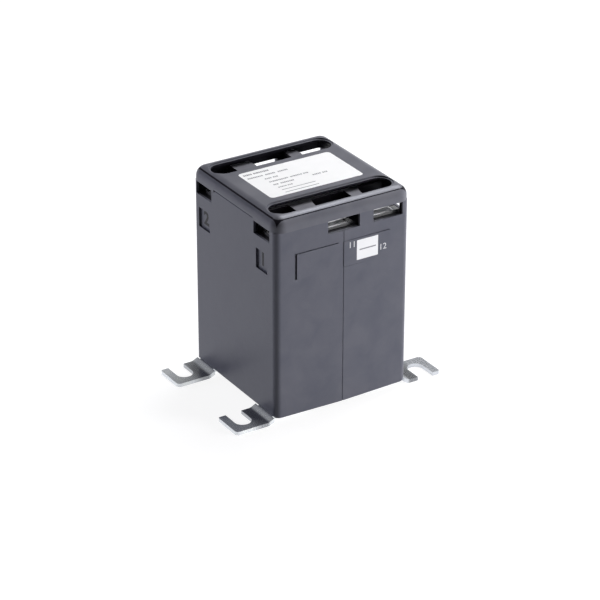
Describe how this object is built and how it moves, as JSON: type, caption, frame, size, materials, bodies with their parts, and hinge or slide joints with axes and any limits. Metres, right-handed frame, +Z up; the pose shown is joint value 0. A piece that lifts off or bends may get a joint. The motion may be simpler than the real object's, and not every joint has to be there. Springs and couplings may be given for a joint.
{
  "type": "current transformer",
  "caption": "Wound summation current transformer in a black box housing with a slotted cap over screw terminals, a white rating label and slotted sheet metal feet.",
  "frame": {"origin": "on the plane of the feet's underside, at the middle of the plan", "axes": "+Z up to the cap, +X across the parting line towards the right feet, +Y from the front face with the small marking label to the rear face"},
  "size_m": [0.094, 0.0622, 0.0868],
  "materials": {
    "black_moulding": "fine satin",
    "white_label": "smooth film",
    "zinc_steel": "bright zinc",
    "plated_brass": "nickel plated",
    "core_steel": "wound strip",
    "white_insulation": "plain",
    "winding_wire": "enamelled copper",
    "lead_sleeving": "plain"
  },
  "bodies": {
    "root": {"clamp_front_left": "zinc_steel", "clamp_front_middle": "zinc_steel", "clamp_front_right": "zinc_steel", "clamp_rear_left": "zinc_steel", "clamp_rear_middle": "zinc_steel", "clamp_rear_right": "zinc_steel", "core": "core_steel", "core_cup_left": "white_insulation", "core_cup_right": "white_insulation", "foot_front_left": "zinc_steel", "foot_front_right": "zinc_steel", "foot_rear_left": "zinc_steel", "foot_rear_right": "zinc_steel", "lead_front_left": "lead_sleeving", "lead_front_middle": "lead_sleeving", "lead_front_right": "lead_sleeving", "lead_rear_left": "lead_sleeving", "lead_rear_middle": "lead_sleeving", "lead_rear_right": "lead_sleeving", "left_shell": "black_moulding", "marking_label": "white_label", "primary_winding_front": "winding_wire", "primary_winding_rear": "winding_wire", "rating_label": "white_label", "right_shell": "black_moulding", "secondary_winding": "winding_wire", "terminal_bar_front_left": "plated_brass", "terminal_bar_front_middle": "plated_brass", "terminal_bar_front_right": "plated_brass", "terminal_bar_rear_left": "plated_brass", "terminal_bar_rear_middle": "plated_brass", "terminal_bar_rear_right": "plated_brass", "terminal_carrier_front": "black_moulding", "terminal_carrier_rear": "black_moulding", "terminal_screw_front_left": "zinc_steel", "terminal_screw_front_middle": "zinc_steel", "terminal_screw_front_right": "zinc_steel", "terminal_screw_rear_left": "zinc_steel", "terminal_screw_rear_middle": "zinc_steel", "terminal_screw_rear_right": "zinc_steel", "top_cap": "black_moulding"}
  },
  "joints": []
}
